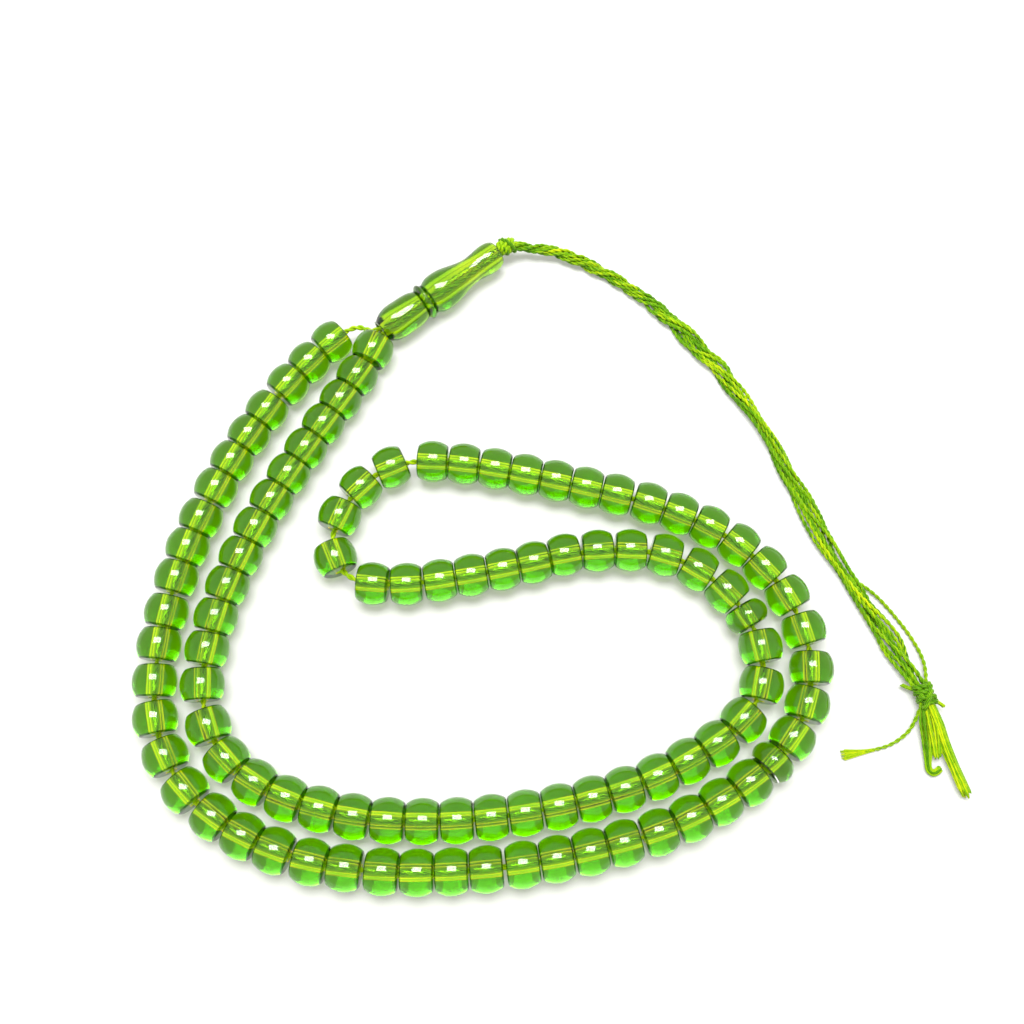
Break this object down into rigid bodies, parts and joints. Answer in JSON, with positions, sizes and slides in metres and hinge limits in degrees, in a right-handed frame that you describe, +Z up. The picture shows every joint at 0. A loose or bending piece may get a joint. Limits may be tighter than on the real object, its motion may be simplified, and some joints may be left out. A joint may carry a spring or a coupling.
{
  "type": "misbaha prayer beads",
  "caption": "Closed loop of bored glass prayer beads on a cord, with marker beads, a turned glass leader, a wrapped knot and a loose silk tail ending in a second knot.",
  "frame": {"origin": "on the table under the middle of the laid-out loop of beads and its leader, the free tail left out", "axes": "+Z up from the table, across the bores' plane; +X towards the knotted tail's free end; +Y from the loop towards the leader's knot"},
  "size_m": [0.1491, 0.1256, 0.008],
  "materials": {
    "bead_glass": "clear yellow-green glass, polished",
    "marker_glass": "clear green glass, a little darker, polished",
    "leader_glass": "clear green glass, turned and polished",
    "strand_thread": "twisted two-ply cord, satin",
    "knot_thread": "wound silk thread, satin",
    "tail_thread": "loosely twisted silk thread, satin"
  },
  "bodies": {
    "cords": {"strand_cord": "strand_thread", "leader_knot": "knot_thread", "tail_cord": "tail_thread", "tail_knot": "knot_thread", "tail_loose_thread": "tail_thread", "tail_end_thin": "tail_thread", "tail_end_middle": "tail_thread", "tail_end_thick": "tail_thread"},
    "beads_01_to_02": {"beads_01_to_02": "bead_glass"},
    "beads_03_to_04": {"beads_03_to_04": "bead_glass"},
    "beads_05_to_06": {"beads_05_to_06": "bead_glass"},
    "beads_07_to_08": {"beads_07_to_08": "bead_glass"},
    "beads_09_to_10": {"beads_09_to_10": "bead_glass"},
    "beads_11_to_12": {"beads_11_to_12": "bead_glass"},
    "beads_13_to_14": {"beads_13_to_14": "bead_glass"},
    "beads_15_to_16": {"beads_15_to_16": "bead_glass"},
    "beads_17_to_18": {"beads_17_to_18": "bead_glass"},
    "beads_19_to_20": {"beads_19_to_20": "bead_glass"},
    "beads_21_to_23": {"beads_21_to_23": "bead_glass"},
    "beads_24_to_26": {"beads_24_to_26": "bead_glass"},
    "beads_27_to_29": {"beads_27_to_29": "bead_glass"},
    "beads_30_to_31": {"beads_30_to_31": "bead_glass"},
    "beads_32_to_33": {"beads_32_to_33": "bead_glass"},
    "marker_1": {"marker_1": "marker_glass"},
    "beads_34_to_35": {"beads_34_to_35": "bead_glass"},
    "beads_36_to_37": {"beads_36_to_37": "bead_glass"},
    "beads_38_to_39": {"beads_38_to_39": "bead_glass"},
    "beads_40_to_41": {"beads_40_to_41": "bead_glass"},
    "beads_42_to_44": {"beads_42_to_44": "bead_glass"},
    "beads_45_to_47": {"beads_45_to_47": "bead_glass"},
    "beads_48_to_50": {"beads_48_to_50": "bead_glass"},
    "bead_51": {"bead_51": "bead_glass"},
    "bead_52": {"bead_52": "bead_glass"},
    "bead_53": {"bead_53": "bead_glass"},
    "bead_54": {"bead_54": "bead_glass"},
    "bead_55": {"bead_55": "bead_glass"},
    "bead_56": {"bead_56": "bead_glass"},
    "beads_57_to_59": {"beads_57_to_59": "bead_glass"},
    "beads_60_to_62": {"beads_60_to_62": "bead_glass"},
    "beads_63_to_64": {"beads_63_to_64": "bead_glass"},
    "beads_65_to_66": {"beads_65_to_66": "bead_glass"},
    "marker_2": {"marker_2": "marker_glass"},
    "beads_67_to_68": {"beads_67_to_68": "bead_glass"},
    "beads_69_to_70": {"beads_69_to_70": "bead_glass"},
    "beads_71_to_72": {"beads_71_to_72": "bead_glass"},
    "beads_73_to_75": {"beads_73_to_75": "bead_glass"},
    "beads_76_to_78": {"beads_76_to_78": "bead_glass"},
    "beads_79_to_80": {"beads_79_to_80": "bead_glass"},
    "beads_81_to_82": {"beads_81_to_82": "bead_glass"},
    "beads_83_to_84": {"beads_83_to_84": "bead_glass"},
    "beads_85_to_86": {"beads_85_to_86": "bead_glass"},
    "beads_87_to_88": {"beads_87_to_88": "bead_glass"},
    "beads_89_to_90": {"beads_89_to_90": "bead_glass"},
    "beads_91_to_92": {"beads_91_to_92": "bead_glass"},
    "beads_93_to_94": {"beads_93_to_94": "bead_glass"},
    "beads_95_to_96": {"beads_95_to_96": "bead_glass"},
    "beads_97_to_99": {"beads_97_to_99": "bead_glass"},
    "leader_barrel": {"leader_barrel": "leader_glass"},
    "leader_disc": {"leader_disc": "leader_glass"},
    "leader_vase": {"leader_vase": "leader_glass"}
  },
  "joints": [
    {"name": "slide_beads_01_to_02", "type": "slide", "parent": "cords", "child": "beads_01_to_02", "axis": [0.6991, 0.715, 0], "range_m": [0, 0.0003]},
    {"name": "slide_beads_03_to_04", "type": "slide", "parent": "cords", "child": "beads_03_to_04", "axis": [0.5748, 0.8183, 0], "range_m": [0, 0.0003]},
    {"name": "slide_beads_05_to_06", "type": "slide", "parent": "cords", "child": "beads_05_to_06", "axis": [0.486, 0.8739, 0], "range_m": [0, 0.0003]},
    {"name": "slide_beads_07_to_08", "type": "slide", "parent": "cords", "child": "beads_07_to_08", "axis": [0.3785, 0.9256, 0], "range_m": [0, 0.0003]},
    {"name": "slide_beads_09_to_10", "type": "slide", "parent": "cords", "child": "beads_09_to_10", "axis": [0.2621, 0.9651, 0], "range_m": [0, 0.0003]},
    {"name": "slide_beads_11_to_12", "type": "slide", "parent": "cords", "child": "beads_11_to_12", "axis": [0.1276, 0.9918, 0], "range_m": [0, 0.0003]},
    {"name": "slide_beads_13_to_14", "type": "slide", "parent": "cords", "child": "beads_13_to_14", "axis": [-0.1209, 0.9927, 0], "range_m": [0, 0.0003]},
    {"name": "slide_beads_15_to_16", "type": "slide", "parent": "cords", "child": "beads_15_to_16", "axis": [-0.5702, 0.8215, 0], "range_m": [0, 0.0003]},
    {"name": "slide_beads_17_to_18", "type": "slide", "parent": "cords", "child": "beads_17_to_18", "axis": [-0.8584, 0.513, 0], "range_m": [0, 0.0003]},
    {"name": "slide_beads_19_to_20", "type": "slide", "parent": "cords", "child": "beads_19_to_20", "axis": [-0.96, 0.28, 0], "range_m": [0, 0.0003]},
    {"name": "slide_beads_21_to_23", "type": "slide", "parent": "cords", "child": "beads_21_to_23", "axis": [-0.9982, 0.0597, 0], "range_m": [0, 0.0003]},
    {"name": "slide_beads_24_to_26", "type": "slide", "parent": "cords", "child": "beads_24_to_26", "axis": [-0.9957, -0.0925, 0], "range_m": [0, 0.0003]},
    {"name": "slide_beads_27_to_29", "type": "slide", "parent": "cords", "child": "beads_27_to_29", "axis": [-0.9759, -0.2183, 0], "range_m": [0, 0.0003]},
    {"name": "slide_beads_30_to_31", "type": "slide", "parent": "cords", "child": "beads_30_to_31", "axis": [-0.9285, -0.3714, 0], "range_m": [0, 0.0003]},
    {"name": "slide_beads_32_to_33", "type": "slide", "parent": "cords", "child": "beads_32_to_33", "axis": [-0.8433, -0.5374, 0], "range_m": [0, 0.0003]},
    {"name": "slide_marker_1", "type": "slide", "parent": "cords", "child": "marker_1", "axis": [-0.728, -0.6856, 0], "range_m": [0, 0.0003]},
    {"name": "slide_beads_34_to_35", "type": "slide", "parent": "cords", "child": "beads_34_to_35", "axis": [-0.4648, -0.8854, 0], "range_m": [0, 0.0003]},
    {"name": "slide_beads_36_to_37", "type": "slide", "parent": "cords", "child": "beads_36_to_37", "axis": [0.1106, -0.9939, 0], "range_m": [0, 0.0003]},
    {"name": "slide_beads_38_to_39", "type": "slide", "parent": "cords", "child": "beads_38_to_39", "axis": [0.5796, -0.8149, 0], "range_m": [0, 0.0003]},
    {"name": "slide_beads_40_to_41", "type": "slide", "parent": "cords", "child": "beads_40_to_41", "axis": [0.8349, -0.5504, 0], "range_m": [0, 0.0003]},
    {"name": "slide_beads_42_to_44", "type": "slide", "parent": "cords", "child": "beads_42_to_44", "axis": [0.9498, -0.3128, 0], "range_m": [0, 0.0003]},
    {"name": "slide_beads_45_to_47", "type": "slide", "parent": "cords", "child": "beads_45_to_47", "axis": [0.9758, -0.2188, 0], "range_m": [0, 0.0003]},
    {"name": "slide_beads_48_to_50", "type": "slide", "parent": "cords", "child": "beads_48_to_50", "axis": [0.9928, -0.1194, 0], "range_m": [0, 0.0003]},
    {"name": "spin_bead_51", "type": "hinge", "parent": "cords", "child": "bead_51", "pos_m": [-0.01785, 0.01366, 0.004], "axis": [-0.9143, -0.4051, 0], "continuous": true},
    {"name": "spin_bead_52", "type": "hinge", "parent": "cords", "child": "bead_52", "pos_m": [-0.02346, 0.0097, 0.004], "axis": [-0.7027, -0.7115, 0], "continuous": true},
    {"name": "spin_bead_53", "type": "hinge", "parent": "cords", "child": "bead_53", "pos_m": [-0.02716, 0.00404, 0.004], "axis": [-0.3956, -0.9184, 0], "continuous": true},
    {"name": "spin_bead_54", "type": "hinge", "parent": "cords", "child": "bead_54", "pos_m": [-0.0276, -0.00394, 0.004], "axis": [0.3908, -0.9205, 0], "continuous": true},
    {"name": "spin_bead_55", "type": "hinge", "parent": "cords", "child": "bead_55", "pos_m": [-0.02048, -0.0088, 0.004], "axis": [0.9953, -0.0971, 0], "continuous": true},
    {"name": "spin_bead_56", "type": "hinge", "parent": "cords", "child": "bead_56", "pos_m": [-0.01428, -0.0089, 0.004], "axis": [0.9986, 0.0522, 0], "continuous": true},
    {"name": "slide_beads_57_to_59", "type": "slide", "parent": "cords", "child": "beads_57_to_59", "axis": [0.9837, 0.1797, 0], "range_m": [0, 0.0004]},
    {"name": "slide_beads_60_to_62", "type": "slide", "parent": "cords", "child": "beads_60_to_62", "axis": [0.9853, 0.1706, 0], "range_m": [0, 0.0004]},
    {"name": "slide_beads_63_to_64", "type": "slide", "parent": "cords", "child": "beads_63_to_64", "axis": [0.9871, -0.1599, 0], "range_m": [0, 0.0004]},
    {"name": "slide_beads_65_to_66", "type": "slide", "parent": "cords", "child": "beads_65_to_66", "axis": [0.7745, -0.6326, 0], "range_m": [0, 0.0004]},
    {"name": "slide_marker_2", "type": "slide", "parent": "cords", "child": "marker_2", "axis": [0.5047, -0.8633, 0], "range_m": [0, 0.0004]},
    {"name": "slide_beads_67_to_68", "type": "slide", "parent": "cords", "child": "beads_67_to_68", "axis": [-0.0382, -0.9993, 0], "range_m": [0, 0.0004]},
    {"name": "slide_beads_69_to_70", "type": "slide", "parent": "cords", "child": "beads_69_to_70", "axis": [-0.7692, -0.639, 0], "range_m": [0, 0.0004]},
    {"name": "slide_beads_71_to_72", "type": "slide", "parent": "cords", "child": "beads_71_to_72", "axis": [-0.9006, -0.4346, 0], "range_m": [0, 0.0004]},
    {"name": "slide_beads_73_to_75", "type": "slide", "parent": "cords", "child": "beads_73_to_75", "axis": [-0.9688, -0.2479, 0], "range_m": [0, 0.0004]},
    {"name": "slide_beads_76_to_78", "type": "slide", "parent": "cords", "child": "beads_76_to_78", "axis": [-0.9945, -0.1049, 0], "range_m": [0, 0.0004]},
    {"name": "slide_beads_79_to_80", "type": "slide", "parent": "cords", "child": "beads_79_to_80", "axis": [-0.9995, 0.0303, 0], "range_m": [0, 0.0004]},
    {"name": "slide_beads_81_to_82", "type": "slide", "parent": "cords", "child": "beads_81_to_82", "axis": [-0.9792, 0.2027, 0], "range_m": [0, 0.0004]},
    {"name": "slide_beads_83_to_84", "type": "slide", "parent": "cords", "child": "beads_83_to_84", "axis": [-0.901, 0.4339, 0], "range_m": [0, 0.0004]},
    {"name": "slide_beads_85_to_86", "type": "slide", "parent": "cords", "child": "beads_85_to_86", "axis": [-0.5424, 0.8401, 0], "range_m": [0, 0.0004]},
    {"name": "slide_beads_87_to_88", "type": "slide", "parent": "cords", "child": "beads_87_to_88", "axis": [-0.0384, -0.9993, 0], "range_m": [0, 0.0004]},
    {"name": "slide_beads_89_to_90", "type": "slide", "parent": "cords", "child": "beads_89_to_90", "axis": [-0.2741, -0.9617, 0], "range_m": [0, 0.0004]},
    {"name": "slide_beads_91_to_92", "type": "slide", "parent": "cords", "child": "beads_91_to_92", "axis": [-0.3918, -0.9201, 0], "range_m": [0, 0.0004]},
    {"name": "slide_beads_93_to_94", "type": "slide", "parent": "cords", "child": "beads_93_to_94", "axis": [-0.4874, -0.8732, 0], "range_m": [0, 0.0004]},
    {"name": "slide_beads_95_to_96", "type": "slide", "parent": "cords", "child": "beads_95_to_96", "axis": [-0.5265, -0.8502, 0], "range_m": [0, 0.0004]},
    {"name": "slide_beads_97_to_99", "type": "slide", "parent": "cords", "child": "beads_97_to_99", "axis": [-0.4704, -0.8824, 0.0052], "range_m": [0, 0.0004]},
    {"name": "spin_leader_barrel", "type": "hinge", "parent": "cords", "child": "leader_barrel", "pos_m": [-0.01685, 0.04475, 0.0039], "axis": [0.7934, 0.6088, 0], "continuous": true},
    {"name": "spin_leader_disc", "type": "hinge", "parent": "cords", "child": "leader_disc", "pos_m": [-0.01227, 0.04827, 0.0039], "axis": [0.7934, 0.6088, 0], "continuous": true},
    {"name": "spin_leader_vase", "type": "hinge", "parent": "cords", "child": "leader_vase", "pos_m": [-0.00476, 0.05403, 0.0039], "axis": [0.7934, 0.6088, 0], "continuous": true}
  ],
  "couplings": [
    {"joint": "slide_beads_03_to_04", "follows": "slide_beads_01_to_02", "ratio": 1},
    {"joint": "slide_beads_05_to_06", "follows": "slide_beads_01_to_02", "ratio": 1},
    {"joint": "slide_beads_07_to_08", "follows": "slide_beads_01_to_02", "ratio": 1},
    {"joint": "slide_beads_09_to_10", "follows": "slide_beads_01_to_02", "ratio": 1},
    {"joint": "slide_beads_11_to_12", "follows": "slide_beads_01_to_02", "ratio": 1},
    {"joint": "slide_beads_13_to_14", "follows": "slide_beads_01_to_02", "ratio": 1},
    {"joint": "slide_beads_15_to_16", "follows": "slide_beads_01_to_02", "ratio": 1},
    {"joint": "slide_beads_17_to_18", "follows": "slide_beads_01_to_02", "ratio": 1},
    {"joint": "slide_beads_19_to_20", "follows": "slide_beads_01_to_02", "ratio": 1},
    {"joint": "slide_beads_21_to_23", "follows": "slide_beads_01_to_02", "ratio": 1},
    {"joint": "slide_beads_24_to_26", "follows": "slide_beads_01_to_02", "ratio": 1},
    {"joint": "slide_beads_27_to_29", "follows": "slide_beads_01_to_02", "ratio": 1},
    {"joint": "slide_beads_30_to_31", "follows": "slide_beads_01_to_02", "ratio": 1},
    {"joint": "slide_beads_32_to_33", "follows": "slide_beads_01_to_02", "ratio": 1},
    {"joint": "slide_marker_1", "follows": "slide_beads_01_to_02", "ratio": 1},
    {"joint": "slide_beads_34_to_35", "follows": "slide_beads_01_to_02", "ratio": 1},
    {"joint": "slide_beads_36_to_37", "follows": "slide_beads_01_to_02", "ratio": 1},
    {"joint": "slide_beads_38_to_39", "follows": "slide_beads_01_to_02", "ratio": 1},
    {"joint": "slide_beads_40_to_41", "follows": "slide_beads_01_to_02", "ratio": 1},
    {"joint": "slide_beads_42_to_44", "follows": "slide_beads_01_to_02", "ratio": 1},
    {"joint": "slide_beads_45_to_47", "follows": "slide_beads_01_to_02", "ratio": 1},
    {"joint": "slide_beads_48_to_50", "follows": "slide_beads_01_to_02", "ratio": 1},
    {"joint": "slide_beads_60_to_62", "follows": "slide_beads_57_to_59", "ratio": 1},
    {"joint": "slide_beads_63_to_64", "follows": "slide_beads_57_to_59", "ratio": 1},
    {"joint": "slide_beads_65_to_66", "follows": "slide_beads_57_to_59", "ratio": 1},
    {"joint": "slide_marker_2", "follows": "slide_beads_57_to_59", "ratio": 1},
    {"joint": "slide_beads_67_to_68", "follows": "slide_beads_57_to_59", "ratio": 1},
    {"joint": "slide_beads_69_to_70", "follows": "slide_beads_57_to_59", "ratio": 1},
    {"joint": "slide_beads_71_to_72", "follows": "slide_beads_57_to_59", "ratio": 1},
    {"joint": "slide_beads_73_to_75", "follows": "slide_beads_57_to_59", "ratio": 1},
    {"joint": "slide_beads_76_to_78", "follows": "slide_beads_57_to_59", "ratio": 1},
    {"joint": "slide_beads_79_to_80", "follows": "slide_beads_57_to_59", "ratio": 1},
    {"joint": "slide_beads_81_to_82", "follows": "slide_beads_57_to_59", "ratio": 1},
    {"joint": "slide_beads_83_to_84", "follows": "slide_beads_57_to_59", "ratio": 1},
    {"joint": "slide_beads_85_to_86", "follows": "slide_beads_57_to_59", "ratio": 1},
    {"joint": "slide_beads_89_to_90", "follows": "slide_beads_87_to_88", "ratio": 1},
    {"joint": "slide_beads_91_to_92", "follows": "slide_beads_87_to_88", "ratio": 1},
    {"joint": "slide_beads_93_to_94", "follows": "slide_beads_87_to_88", "ratio": 1},
    {"joint": "slide_beads_95_to_96", "follows": "slide_beads_87_to_88", "ratio": 1},
    {"joint": "slide_beads_97_to_99", "follows": "slide_beads_87_to_88", "ratio": 1}
  ]
}
